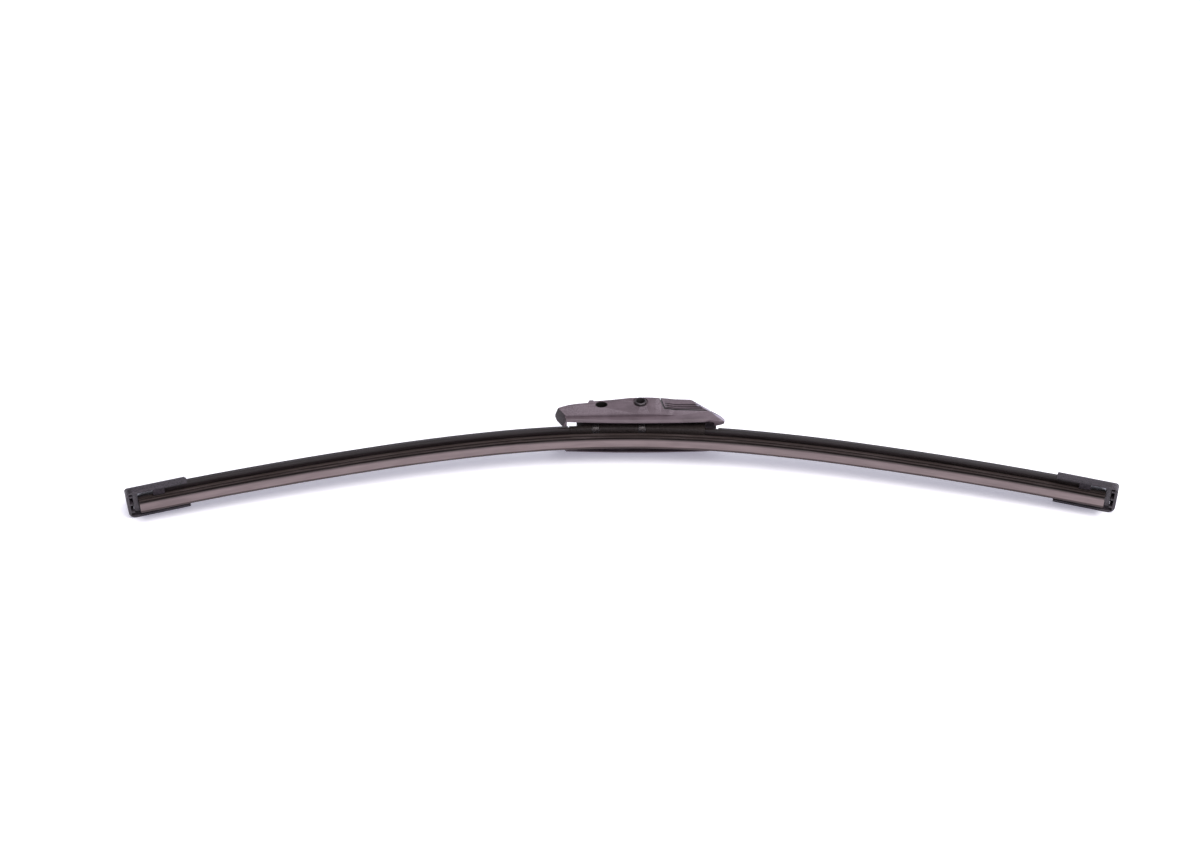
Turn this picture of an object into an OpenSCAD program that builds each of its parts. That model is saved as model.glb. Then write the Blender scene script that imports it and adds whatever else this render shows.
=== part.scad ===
// Flat wiper blade with a bowed rubber, two spring rails, a spoiler in two lengths,
// end caps and a pivoting arm adapter with a lock cover.
// It lies on its side: X runs along the blade, Y from the wiping lip to the adapter's top,
// Z across the blade along the pivot. The origin is the middle of the pivot bore.

/* [Blade] */
// Length of the blade along its rails, over both end caps
blade_l = 530; // [460:5:600]
// Distance of the pivot to the right of the blade's middle
pivot_offset = 10.7; // [8:0.1:13]
// Bow radius of the middle stretch, at the rails
mid_bow_r = 450; // [420:10:520]
// Bow radius of the next stretch on each side
next_bow_r = 750; // [650:10:900]
// Bow radius of the outer stretch on each side
outer_bow_r = 1500; // [1200:20:2000]

/* [Wiper rubber] */
// Thickness of the wiping edge
lip_tip_t = 0.8; // [0.6:0.1:1]
// Height of the wiping lip's flank
flank_h = 3.6; // [3:0.1:4.2]
// Width of the lip where its flank ends
flank_w = 3.5; // [3:0.1:4]
// Width across the lip's shoulders
shoulder_w = 5.2; // [4.4:0.1:5.4]
// Height of the lip's shoulders
shoulder_h = 1; // [0.8:0.1:1.2]
// Thickness of the web that lets the lip tilt
web_t = 0.9; // [0.7:0.1:1.2]
// Height of that web
web_h = 1; // [0.8:0.1:1.2]
// Width across the two ribs of the body
rib_w = 5.4; // [5:0.1:5.6]
// Height of the lower rib
low_rib_h = 1.3; // [1.1:0.1:1.5]
// Height of the groove between the ribs
rib_groove_h = 0.8; // [0.6:0.1:1]
// Depth of the groove between the ribs
rib_groove_d = 0.8; // [0.5:0.1:1]
// Height of the upper rib, up to the rails
high_rib_h = 2.5; // [2.3:0.1:2.7]
// Height of the head above the rails
head_h = 1.4; // [1.2:0.1:1.5]
// Distance of the rubber's ends from the blade's tips
rubber_setback = 6.1; // [5.8:0.1:6.6]

/* [Spring rails] */
// Width of each rail
rail_w = 4; // [3.6:0.1:4.2]
// Thickness of each rail
rail_t = 0.9; // [0.8:0.05:1]
// Distance between the two rails
rail_gap = 2.6; // [2.4:0.1:2.8]
// Distance of the rails' ends from the blade's tips
rail_setback = 4.8; // [4.6:0.1:5]
// Play between the rails and what they slide in
rail_play = 0.05; // [0.03:0.01:0.08]

/* [Spoiler] */
// Width over the spoiler's claws
spoiler_w = 12.6; // [12.2:0.1:13]
// Height of the spoiler from the claws' underside to its ridge
spoiler_h = 10.3; // [9.8:0.1:11]
// Thickness of the claws under the rails
claw_t = 0.8; // [0.7:0.1:1]
// Height of the upright sides of the claws
claw_side_h = 1.8; // [1.6:0.1:2.2]
// Width of the ridge
ridge_w = 1.7; // [1.5:0.1:2]
// Radius of the hollow flanks
spoiler_flank_r = 12; // [11:0.5:16]
// Play round the rubber's body and head
rubber_play = 0.3; // [0.2:0.05:0.4]
// Where the left spoiler ends, left of the pivot
left_spoiler_stop = 38.9; // [38:0.1:40]
// Where the right spoiler ends, right of the pivot
right_spoiler_stop = 34.6; // [34:0.1:36]
// Where the right spoiler's ridge starts, clear of the adapter's tail
ridge_start = 42.4; // [42.2:0.1:43]
// Height of the right spoiler's low end above the wiping edge
low_end_v = 11.9; // [11.7:0.1:12]
// Distance of the spoiler's outer ends from the blade's tips
spoiler_setback = 17; // [16:0.5:18]

/* [End caps] */
// Length of each end cap
cap_l = 32; // [28:0.5:38]
// Width of each end cap
cap_w = 17; // [16.4:0.1:18]
// Height of the cap's upright side walls
cap_side_h = 3.3; // [3:0.1:3.8]
// Distance of the cap's rim from the wiping edge
cap_rim_v = 7.2; // [6.8:0.1:7.4]
// Thickness of the cap over the spoiler's ridge
cap_top_t = 1.2; // [1:0.1:1.6]
// Width of the cap's ridge
cap_ridge_w = 3.6; // [3.2:0.1:4.2]
// Radius of the cap's hollow flanks
cap_flank_r = 14; // [13:0.5:18]
// Thickness of the cap's side walls at the rim
cap_wall_t = 1.4; // [1.2:0.1:1.5]
// Thickness of the cap's end wall
cap_end_t = 1.5; // [1.2:0.1:1.8]
// Radius of the cap's outer corners
cap_corner_r = 4; // [2:0.5:5]
// Play between the cap and the spoiler
cap_play = 0.15; // [0.1:0.05:0.25]
// Distance of the holding tabs from the blade's tips
tab_setback = 14; // [13:0.5:15]
// Length of the holding tabs
tab_l = 6; // [5:0.5:8]
// Thickness of the holding tabs
tab_t = 1.4; // [1:0.1:1.5]

/* [Rail clips] */
// Length of each rail clip along the blade
clip_l = 2.6; // [2.2:0.1:2.8]
// Height of each rail clip
clip_h = 3.6; // [3:0.1:3.8]
// How deep the rails sit in each clip
clip_bite = 1.1; // [0.8:0.1:1.3]

/* [Claw bracket] */
// Thickness of the bracket's sheet
sheet_t = 1; // [0.8:0.1:1.1]
// Length of each claw along the blade
claw_l = 3.6; // [3:0.1:4.5]
// Distance between the two pairs of claws
claw_pitch = 25; // [23:0.5:26]
// Width of the bracket's two upright ears
ear_w = 11; // [10:0.5:12]
// Distance between the outer faces of the ears
ear_span = 9.6; // [9:0.1:10]

/* [Connector base] */
// Distance of the base's left end from the pivot
base_left = 34.6; // [34:0.1:35]
// Distance of the base's right end from the pivot
base_right = 34.5; // [33.6:0.1:34.5]
// Width over the base's side walls
base_w = 13; // [12.8:0.1:13.4]
// Height of the base's deck above the wiping edge
deck_v = 15.2; // [15:0.1:16]
// Thickness of the base's deck
deck_t = 1.1; // [0.9:0.1:1.2]
// Thickness of the cheeks on each side of the ears
cheek_t = 2; // [1.5:0.1:2.2]
// Width of the cheeks at their foot
cheek_foot_w = 20; // [18:0.5:22]
// Play between neighbouring moulded and pressed parts
base_play = 0.2; // [0.1:0.05:0.3]
// Gap between the base's low toe and the left spoiler
butt_gap = 0.06; // [0.04:0.01:0.1]

/* [Pivot] */
// Height of the pivot above the wiping edge
pivot_v = 23.8; // [23.4:0.1:24.2]
// Diameter of the bore for the arm's pin
arm_bore_d = 4.8; // [4.5:0.1:5]
// Outer diameter of the pivot tube
tube_d = 6.5; // [6.3:0.1:6.7]
// Length of the pivot tube
tube_l = 27.6; // [27:0.1:28.4]
// Radial running clearance between the adapter and the tube
pivot_play = 0.05; // [0.02:0.01:0.08]

/* [Adapter housing] */
// Thickness of the side walls
wall_t = 1.5; // [1.3:0.1:1.6]
// Half width over the raised pads of the side walls
pad_half_w = 12.95; // [12.8:0.05:13.1]
// How much the pads close in towards the left, per length
pad_lean = 0.012; // [0.008:0.002:0.016]
// Radius in which the pads run out to the right, seen from above
pad_run_r = 138; // [130:2:146]
// Height of the pads' lower edge above the wiping edge, at the pivot
pad_v = 13.1; // [12.9:0.1:13.3]
// Half width of the skirt below the pads
skirt_half_w = 11.35; // [11.25:0.05:11.45]
// Distance of the skirt's lower edge from the wiping edge
skirt_v = 8.85; // [8.7:0.05:9]
// Radius of the skirt's lower edge, seen from the side
skirt_arch_r = 700; // [650:10:760]
// Chamfer along the skirt's lower edge
skirt_chamfer = 1; // [0.8:0.1:1.1]
// Reach of the housing to the left of the pivot
housing_left = 46.4; // [46:0.1:46.8]
// Reach of the housing to the right of the pivot
housing_right = 45.6; // [45.2:0.1:46]
// Where the left corner posts end, left of the pivot
post_x = 40; // [39.8:0.1:40.4]
// Half width of the open channel between the left corner posts
left_channel_w = 6.9; // [6.8:0.1:7.2]
// Half width of the open channel between the two prongs of the tail
tail_channel_w = 5.9; // [5.8:0.1:6]
// Height of the floor in the left channel above the wiping edge
floor_v = 17.4; // [17.2:0.1:18]
// Thickness of that floor and of the wall under the cover's hinge
floor_t = 1.2; // [1:0.1:1.4]
// Length of the obround hole beside the pivot
slot_l = 6.1; // [5.8:0.1:6.3]
// Height of the obround hole
slot_h = 4.7; // [4.5:0.1:4.8]
// Distance of the obround hole from the pivot
slot_x = 21.2; // [20.6:0.1:21.6]
// Height of the obround hole's middle above the wiping edge
slot_v = 21.75; // [21.6:0.05:21.9]
// Depth of the blind pocket behind the obround hole
slot_depth = 4.6; // [3:0.2:4.8]
// Diameter of the recess round the tube
recess_d = 8.4; // [8.2:0.1:8.6]
// Depth of that recess
recess_depth = 0.8; // [0.6:0.1:0.9]
// Radius of the bosses that turn on the tube
boss_r = 4.6; // [4.5:0.1:4.8]
// Play between the housing and what stands inside it
housing_play = 0.3; // [0.25:0.05:0.35]

/* [Lock cover] */
// Distance of the cover's front from the pivot, at its top
cover_front = 10.8; // [10.6:0.1:11]
// Height of the seam under the cover's front, above the wiping edge
seam_v = 19.3; // [19.2:0.1:19.5]
// Gap between the cover and the housing
seam_gap = 0.5; // [0.4:0.05:0.5]
// Thickness of the cover's shell
cover_t = 1.3; // [1.1:0.1:1.4]
// Distance of the cover's hinge from the pivot
hinge_x = 35.7; // [35.6:0.1:35.8]
// Height of the cover's hinge above the wiping edge
hinge_v = 20.4; // [20.35:0.05:20.45]
// Radius of the cover's round end about its hinge
hinge_r = 2; // [1.95:0.05:2.05]
// Diameter of the cover's hinge pin
hinge_pin_d = 2; // [1.8:0.1:2.1]
// Radial running clearance of the hinge pin
hinge_play = 0.05; // [0.02:0.01:0.08]
// Width of the housing's knuckle on the hinge pin
knuckle_w = 7.8; // [7:0.2:9]
// Number of grip grooves on each side of the cover
grip_n = 3; // [2:1:3]
// Height of the lowest grip groove above the wiping edge
grip_v = 20.1; // [20.1:0.1:20.3]
// Spacing of the grip grooves
grip_pitch = 1.65; // [1.5:0.05:1.7]
// Width of the grip grooves
grip_w = 0.8; // [0.5:0.1:0.8]
// Depth of the grip grooves
grip_depth = 0.6; // [0.3:0.05:0.6]

/* [Hidden] */
$fn = 64;
sweep_fn = 720;
far = 100;
bite = 0.01;
lap_turn = 0.2;

// Heights above the wiping edge, from the lip up
shoulder_v = flank_h + shoulder_h;
low_rib_v = shoulder_v + web_h;
groove_v = low_rib_v + low_rib_h;
high_rib_v = groove_v + rib_groove_h;
rail_floor_v = high_rib_v + high_rib_h;
slot_roof_v = rail_floor_v + rail_t + 2 * rail_play;
head_v = slot_roof_v + head_h;
rail_mid_v = (rail_floor_v + slot_roof_v) / 2;
claw_v = rail_floor_v - claw_t;
ridge_v = claw_v + spoiler_h;
rail_out_w = rail_gap / 2 + rail_w;
tip_s = blade_l / 2;

// The bow: a middle stretch, then a tighter to flatter one on each side, each an exact arc.
// A joint turns by a corner of the right triangle with sides 237, 3116 and 3125, so that its
// sine and cosine are short decimals and the stretches meet face to face without a gap.
joint_turn = asin(237 / 3125);
mid_turn = 2 * joint_turn;
next_turn = mid_turn + joint_turn;
mid_reach = mid_bow_r * mid_turn * PI / 180;
next_reach = mid_reach + next_bow_r * joint_turn * PI / 180;
next_centre = (mid_bow_r - next_bow_r) * aim(mid_turn) - [0, mid_bow_r];
outer_centre = next_centre + (next_bow_r - outer_bow_r) * aim(next_turn);
function aim(a) = [sin(a), cos(a)];
// Turn of the beam at a distance s from its middle, measured along the rails
function turn(s) =
    s < mid_reach ? s / mid_bow_r * 180 / PI :
    s < next_reach ? mid_turn + (s - mid_reach) / next_bow_r * 180 / PI :
    next_turn + (s - next_reach) / outer_bow_r * 180 / PI;
function bow_point(s) =
    s < mid_reach ? mid_bow_r * aim(turn(s)) - [0, mid_bow_r] :
    s < next_reach ? next_centre + next_bow_r * aim(turn(s)) :
    outer_centre + outer_bow_r * aim(turn(s));
// Turn to the right, or to the left for a place left of the middle
function side_turn(s) = sign(s) * turn(abs(s));
// Distance along the rails from the blade's middle to a place x right of the pivot
function station(x) = mid_bow_r * asin((x + pivot_offset) / mid_bow_r) * PI / 180;

// Frame of the straight parts: X from the pivot, Y from the wiping edge at the middle
module upright() {
    translate([0, -pivot_v, 0])
        children();
}

// Frame of the bow: its rails' mid line passes the origin at the middle
module bow_frame() {
    translate([-pivot_offset, rail_mid_v - pivot_v, 0])
        children();
}

// One arc round the origin of a profile of [height, width], from straight up to the right.
// It starts in its frame without a turn of its own, so stretches that meet stay exact.
module arc_sweep(r, angle) {
    rotate([0, 0, 90])
        rotate_extrude(angle = -angle, $fn = sweep_fn)
            translate([r, 0])
                translate([-rail_mid_v, 0])
                    children();
}

// Everything to the right or left of the plane through the origin
module beyond(side) {
    translate([side > 0 ? 0 : -4 * far, -4 * far, -far])
        cube([4 * far, 40 * far, 2 * far]);
}

// Sweeps a profile of [height above the wiping edge, width] along the bow
module along_bow(from, to) {
    bow_frame() {
        middle_stretch(from, to)
            children();
        if (to > mid_reach)
            flat_stretches(to)
                children();
        if (from < -mid_reach)
            mirror([1, 0, 0])
                flat_stretches(-from)
                    children();
    }
}

// The middle stretch starts at its left joint and is cut off where the piece or the stretch ends
module middle_stretch(from, to) {
    last_turn = to > mid_reach ? mid_turn + lap_turn : side_turn(to);
    translate([0, -mid_bow_r, 0])
        difference() {
            two_turns(-1)
                arc_sweep(mid_bow_r, mid_turn + last_turn)
                    children();
            if (to > mid_reach)
                two_turns(1)
                    beyond(1);
            if (from > -mid_reach)
                rotate([0, 0, -side_turn(from)])
                    beyond(-1);
        }
}

module one_turn(side) {
    rotate([0, 0, -side * joint_turn])
        children();
}

module two_turns(side) {
    one_turn(side)
        one_turn(side)
            children();
}

// The flatter stretches out to the right end, in frames turned with the joints
module flat_stretches(to) {
    translate([0, -mid_bow_r, 0])
        two_turns(1)
            translate([0, mid_bow_r - next_bow_r, 0]) {
                difference() {
                    arc_sweep(next_bow_r, joint_turn + lap_turn)
                        children();
                    one_turn(1)
                        beyond(1);
                }
                one_turn(1)
                    translate([0, next_bow_r - outer_bow_r, 0])
                        arc_sweep(outer_bow_r, turn(to) - next_turn)
                            children();
            }
}

// Puts a part at a blade's end: X outwards along the blade, Y its height above the wiping edge
module at_tip(side) {
    bow_frame()
        mirror([side < 0 ? 1 : 0, 0, 0])
            translate(bow_point(tip_s))
                rotate([0, 0, -turn(tip_s)])
                    translate([0, -rail_mid_v, 0])
                        children();
}

// A profile that is drawn on one side and repeated on the other
module both_sides() {
    children();
    mirror([0, 1])
        children();
}

// Extrudes a profile of [height, width] straight along the blade
module straight(x0, x1) {
    translate([x0, 0, 0])
        rotate([90, 0, 90])
            linear_extrude(x1 - x0)
                children();
}

// Rectangle from height v0 to v1 and from width w0 to w1
module band(v0, v1, w0, w1) {
    translate([v0, w0])
        square([v1 - v0, w1 - w0]);
}

// A block given by its ranges of x, height and width
module block(x0, x1, v0, v1, w0, w1) {
    translate([x0, v0, w0])
        cube([x1 - x0, v1 - v0, w1 - w0]);
}

module rubber_profile() {
    both_sides()
        polygon([
            [0, 0], [0, lip_tip_t / 2], [lip_tip_t, lip_tip_t / 2],
            [flank_h, flank_w / 2], [flank_h + shoulder_h / 2, shoulder_w / 2],
            [shoulder_v, shoulder_w / 2], [shoulder_v, web_t / 2],
            [low_rib_v, web_t / 2], [low_rib_v, rib_w / 2],
            [groove_v, rib_w / 2], [groove_v, rib_w / 2 - rib_groove_d],
            [high_rib_v, rib_w / 2 - rib_groove_d], [high_rib_v, rib_w / 2],
            [rail_floor_v, rib_w / 2], [rail_floor_v, rail_gap / 2 - rail_play],
            [slot_roof_v, rail_gap / 2 - rail_play], [slot_roof_v, rib_w / 2],
            [head_v - head_h / 3, rib_w / 2], [head_v, rib_w / 2 - head_h / 3],
            [head_v, 0]
        ]);
}

module rail_profile() {
    band(rail_floor_v + rail_play, slot_roof_v - rail_play, rail_gap / 2, rail_out_w);
}

// Middle of the circle of radius r through p and q, on the left of the way from p to q
function arc_centre(p, q, r) = let (m = (p + q) / 2, d = q - p, h = norm(d) / 2)
    m + [-d[1], d[0]] / norm(d) * sqrt(r * r - h * h);

// Tent shape with hollow flanks: foot height, side height, half width, ridge height and width
module tent(foot_v, side_h, half_w, top_v, top_w, flank_r, grow = 0) {
    ridge_r = top_w / 2;
    c = arc_centre([foot_v + side_h, half_w], [top_v - ridge_r, ridge_r], flank_r);
    difference() {
        band(foot_v - grow, top_v - ridge_r, -half_w - grow, half_w + grow);
        both_sides()
            translate([c[0], c[1]])
                circle(r = flank_r - grow, $fn = 180);
    }
    translate([top_v - ridge_r, 0])
        circle(r = ridge_r + grow, $fn = 48);
}

module spoiler_outline(grow = 0) {
    tent(claw_v, claw_side_h, spoiler_w / 2, ridge_v, ridge_w, spoiler_flank_r, grow);
}

// What the rails and the rubber's head take up inside the spoiler and the base
module rail_channel() {
    band(rail_floor_v, slot_roof_v, -rail_out_w - rail_play, rail_out_w + rail_play);
    band(claw_v - 1, head_v + rubber_play, -rib_w / 2 - rubber_play, rib_w / 2 + rubber_play);
}

module spoiler_profile() {
    hollow_v = head_v + rubber_play + claw_t;
    difference() {
        spoiler_outline();
        rail_channel();
        polygon([
            [hollow_v, -ridge_w], [hollow_v, ridge_w],
            [ridge_v - 3 * claw_t, ridge_w / 4], [ridge_v - 3 * claw_t, -ridge_w / 4]
        ]);
    }
}

// The cap's outer form, with x from 0 at the blade's tip to -cap_l
module cap_body() {
    cap_ridge_v = ridge_v + cap_play + cap_top_t;
    intersection() {
        straight(-cap_l, 0)
            tent(cap_rim_v, cap_side_h, cap_w / 2, cap_ridge_v, cap_ridge_w, cap_flank_r);
        rotate([-90, 0, 0])
            linear_extrude(far)
                rounded_end(cap_l, cap_w, cap_corner_r);
        translate([0, 0, -far / 2])
            linear_extrude(far)
                cap_side(cap_ridge_v);
    }
}

// The cap seen from the side: its top rounds down to the end wall
module cap_side(top_v) {
    difference() {
        translate([-cap_l, 0])
            square([cap_l, top_v]);
        translate([-cap_corner_r, top_v - cap_corner_r])
            difference() {
                square(cap_corner_r + 1);
                circle(r = cap_corner_r);
            }
    }
}

// Rectangle that ends at x = 0 with two round corners
module rounded_end(l, w, r) {
    difference() {
        translate([-l, -w / 2])
            square([l, w]);
        for (side = [-1, 1])
            translate([-r, side * (w / 2 - r)])
                difference() {
                    translate([0, side > 0 ? 0 : -r - 1])
                        square([r + 1, r + 1]);
                    circle(r = r);
                }
    }
}

module end_cap() {
    inner_v = claw_v - cap_play;
    inner_w = cap_w / 2 - cap_wall_t;
    difference() {
        cap_body();
        block(-far, -cap_end_t, 0, inner_v, -inner_w, inner_w);
        block(-far, -cap_end_t, inner_v - bite, head_v + rubber_play,
            -spoiler_w / 2 - cap_play, spoiler_w / 2 + cap_play);
        straight(-far, -spoiler_setback + cap_play)
            spoiler_outline(cap_play);
    }
    tab_in_w = rib_w / 2 + 2 * rubber_play;
    for (side = [-1, 1])
        block(-tab_setback - tab_l, -tab_setback, inner_v - cap_play - tab_t, inner_v - cap_play,
            side > 0 ? tab_in_w : -inner_w - bite, side > 0 ? inner_w + bite : -tab_in_w);
    rib_stop = rail_setback - (clip_l - clip_bite);
    for (w = [-inner_w * 0.7, 0, inner_w * 0.7])
        block(-rib_stop + cap_play, -cap_end_t + bite, cap_rim_v + 0.4, head_v + rubber_play,
            w - 0.5, w + 0.5);
}

module rail_clip() {
    x1 = -rail_setback + (clip_l - clip_bite);
    half_w = rail_out_w + 0.5;
    difference() {
        block(x1 - clip_l, x1, rail_mid_v - clip_h / 2, rail_mid_v + clip_h / 2, -half_w, half_w);
        for (side = [-1, 1])
            block(-far, -rail_setback + rail_play, rail_floor_v, slot_roof_v,
                side > 0 ? rail_gap / 2 - rail_play : -rail_out_w - rail_play,
                side > 0 ? rail_out_w + rail_play : -rail_gap / 2 + rail_play);
    }
}

// Outline of the bracket's claw round the rails' edges
module claw_profile() {
    out_w = base_w / 2 + base_play;
    plate_v = head_v + base_play;
    grip_top_v = rail_floor_v - rail_play;
    foot_v = grip_top_v - sheet_t - base_play;
    both_sides()
        polygon([
            [plate_v + sheet_t + 0.1, 0], [plate_v + sheet_t + 0.1, out_w],
            [foot_v + sheet_t, out_w], [foot_v, out_w - sheet_t], [foot_v, rail_out_w - 1],
            [grip_top_v, rail_out_w - 1], [grip_top_v, rail_out_w + base_play],
            [plate_v - 0.1, rail_out_w + base_play], [plate_v - 0.1, 0]
        ]);
}

module bracket_plate_profile() {
    band(head_v + base_play, head_v + base_play + sheet_t, -ear_span / 2, ear_span / 2);
}

claw_x = [-claw_pitch + 0.5, 0.5];

module claw_bracket() {
    color("#6d676a") {
        along_bow(station(claw_x[0] - claw_l / 2), station(ear_w / 2))
            bracket_plate_profile();
        for (x = claw_x)
            along_bow(station(x - claw_l / 2), station(x + claw_l / 2))
                claw_profile();
        upright()
            difference() {
                for (side = [-1, 1])
                    translate([0, 0, side * (ear_span - sheet_t) / 2 - sheet_t / 2])
                        linear_extrude(sheet_t)
                            ear_outline(ear_w, head_v + base_play + sheet_t / 2, pivot_v);
                pivot_hole(tube_d / 2);
            }
    }
}

// Upright ear with a round top, from its foot up to round the pivot
module ear_outline(w, foot, top) {
    translate([-w / 2, foot])
        square([w, top - foot]);
    translate([0, top])
        intersection() {
            circle(d = w);
            translate([-w / 2, -w / 2])
                square([w, w / 2 + tube_d / 2 + 0.9]);
        }
}

module pivot_hole(r) {
    translate([0, pivot_v, 0])
        cylinder(h = far, r = r, center = true);
}

module connector_base() {
    cheek_in = ear_span / 2 + base_play;
    toe_x = left_spoiler_stop - butt_gap;
    color("#1d191a")
        difference() {
            union() {
                along_bow(station(-base_left), station(base_right))
                    band(claw_v, deck_v, -base_w / 2, base_w / 2);
                // Low toe that closes the gap to the left spoiler
                along_bow(station(-toe_x), station(-base_left + 1))
                    band(claw_v + base_play, slot_roof_v + claw_t, -base_w / 2 + base_play,
                        base_w / 2 - base_play);
                upright()
                    for (side = [0, 1])
                        mirror([0, 0, side]) {
                            translate([0, 0, cheek_in])
                                linear_extrude(cheek_t)
                                    cheek_outline();
                            // Thin rib on each side wall
                            block(11, 11.9, claw_v + 1.6, deck_v - 1, base_w / 2 - 0.5, base_w / 2 + 0.5);
                        }
            }
            along_bow(station(-toe_x) - 1, station(base_right) + 1)
                rail_channel();
            along_bow(station(-base_left) - 1, station(base_right) + 1)
                band(slot_roof_v + claw_t, deck_v - deck_t, -base_w / 2 + claw_t, base_w / 2 - claw_t);
            upright() {
                pivot_hole(tube_d / 2 + pivot_play);
                block(-ear_w / 2 - base_play, ear_w / 2 + base_play, deck_v - 3, far,
                    -cheek_in, cheek_in);
            }
            for (x = claw_x)
                along_bow(station(x - claw_l / 2 - base_play), station(x + claw_l / 2 + base_play))
                    difference() {
                        band(claw_v - 1, head_v + 2 * base_play + sheet_t, -base_w, base_w);
                        band(0, slot_roof_v, -rail_gap / 2, rail_gap / 2);
                    }
        }
}

// Cheek beside each ear: a wide foot that narrows to a round head
module cheek_outline() {
    head_r = tube_d / 2 + 1.2;
    intersection() {
        hull() {
            translate([0, pivot_v])
                circle(r = head_r);
            translate([-cheek_foot_w / 2, deck_v - 1])
                square([cheek_foot_w, 1]);
        }
        translate([-cheek_foot_w / 2, deck_v - 1])
            square([cheek_foot_w, far]);
    }
}

module pivot_tube() {
    edge = 0.3;
    color("#4a4547")
        rotate_extrude()
            polygon([
                [arm_bore_d / 2, -tube_l / 2], [tube_d / 2 - edge, -tube_l / 2],
                [tube_d / 2, -tube_l / 2 + edge], [tube_d / 2, tube_l / 2 - edge],
                [tube_d / 2 - edge, tube_l / 2], [arm_bore_d / 2, tube_l / 2]
            ]);
}

// Heights of the housing's edges above the wiping edge, from left to right
bow_foot_v = 10.2;
bow_front_v = 18.4;
bow_top_v = 20.2;
top_v = 28.1;
slope_x = 27.4;
slope_v = 27.7;
tail_v = 17.4;
// Foot of the raked left end and start of the slope's last stretch, from the pivot
bow_foot_x = 44;
tail_x = 43.2;
// Tooth on each wall's top edge, and step of that edge behind it
tooth_x = [-27.8, -25.8];
tooth_v = 25.9;
// Turn of the cover's slope against the blade, and the slope's outward direction
slope_turn = atan((slope_v - tail_v) / (tail_x - slope_x));
slope_aim = [sin(slope_turn), cos(slope_turn)];

module housing_side() {
    polygon([
        [-bow_foot_x, bow_foot_v - 4], [-bow_foot_x, bow_foot_v], [-housing_left, bow_front_v],
        [-housing_left + 3, bow_top_v], [-39, 22], [-34, 23], [tooth_x[0] - 0.8, 23.6],
        [tooth_x[0], tooth_v], [tooth_x[1], tooth_v], [tooth_x[1] + 0.8, 25],
        [-16, 25.9], [-6, 27.4], [3, 27.9], [12, top_v], [20, top_v],
        [slope_x, slope_v], [tail_x, tail_v], [housing_right, 14.8],
        [housing_right - 0.4, 13.2], [housing_right - 2, 12.2], [38, 10.6], [35, 9.8], [31, 6]
    ]);
}

// Extrudes a side view across the whole width
module side_slab() {
    translate([0, 0, -far / 2])
        linear_extrude(far)
            children();
}

// Raises a plan outline between two heights
module raise(v0, v1) {
    translate([0, v0, 0])
        rotate([-90, 0, 0])
            linear_extrude(v1 - v0)
                mirror([0, 1])
                    children();
}

// Plan of the skirt and of the tail, which closes in towards the right end
module skirt_plan(inset) {
    w = skirt_half_w - inset;
    polygon([
        [-far, -w], [-far, w], [36.6, w], [41.4, 8.9 - inset], [housing_right + 1, 7.1 - inset],
        [housing_right + 1, -7.1 + inset], [41.4, -8.9 + inset], [36.6, -w]
    ]);
}

// Plan of the raised pads: nearly straight to the left, running out in an arc to the right
module pad_plan(inset) {
    bend_x = -2;
    w = pad_half_w - inset;
    both_sides() {
        polygon([[-far, 0], [-far, w - (far + bend_x) * pad_lean], [bend_x, w], [bend_x, 0]]);
        intersection() {
            translate([bend_x, pad_half_w - pad_run_r])
                circle(r = pad_run_r - inset, $fn = sweep_fn);
            translate([bend_x - bite, 0])
                square([far, far]);
        }
    }
}

// Skirt block with its arched and chamfered lower edges
module skirt_form() {
    w = skirt_half_w;
    r = skirt_arch_r;
    swing = 6;
    intersection() {
        translate([2, skirt_v + r, 0])
            rotate([0, 0, -90 - swing])
                rotate_extrude(angle = 2 * swing, $fn = sweep_fn)
                    polygon([
                        [r - far, -w], [r - far, w], [r - skirt_chamfer, w],
                        [r, w - skirt_chamfer], [r, skirt_chamfer - w], [r - skirt_chamfer, -w]
                    ]);
        raise(0, far)
            skirt_plan(0);
    }
}

module pad_form() {
    rise = 0.015;
    intersection() {
        raise(0, far)
            pad_plan(0);
        side_slab()
            polygon([
                [-far, pad_v - far * rise], [24, pad_v + 24 * rise], [24, far], [-far, far]
            ]);
    }
}

module housing_outer() {
    difference() {
        intersection() {
            union() {
                skirt_form();
                pad_form();
            }
            side_slab()
                housing_side();
        }
        bow_facets();
        tail_facets(0);
    }
}

// Cuts off both sides beyond a plane through a point, given by its azimuth and tilt
module facet(p, azimuth, tilt, inset) {
    for (side = [0, 1])
        mirror([0, 0, side])
            translate(p)
                rotate([0, tilt, azimuth])
                    translate([-far, -far, -inset])
                        cube([2 * far, 2 * far, far]);
}

module bow_facets() {
    facet([-43.8, 17.7, 12.4], 211.4, 63.4, 0);
}

module tail_facets(inset) {
    facet([29.7, 25.5, skirt_half_w], 38.9, 31, inset);
}

// Room between the side walls, the channels at both ends and the room under the cover
module housing_hollow() {
    difference() {
        union() {
            raise(-far, far)
                skirt_plan(wall_t);
            intersection() {
                raise(pad_v + wall_t, far)
                    pad_plan(wall_t);
                side_slab()
                    translate([-far, 0])
                        square([far + hinge_x - 6, far]);
            }
        }
        // Left corner posts
        block(-far, -post_x, -far, far, left_channel_w, far);
        block(-far, -post_x, -far, far, -far, -left_channel_w);
        // Prongs of the tail and the beam between them, under the cover's hinge
        block(hinge_x + 4, far, -far, far, tail_channel_w, far);
        block(hinge_x + 4, far, -far, far, -far, -tail_channel_w);
        side_slab()
            polygon([
                [hinge_x - 4, beam_v], [hinge_x + 5.4, beam_v], [hinge_x + 5.4, far],
                [hinge_x - 4, far]
            ]);
        // Floor of the left channel
        block(-33, -12, floor_v, floor_v + floor_t, -far, far);
        tail_facets(wall_t);
    }
}

beam_v = hinge_v - hinge_r - seam_gap - floor_t;

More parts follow.
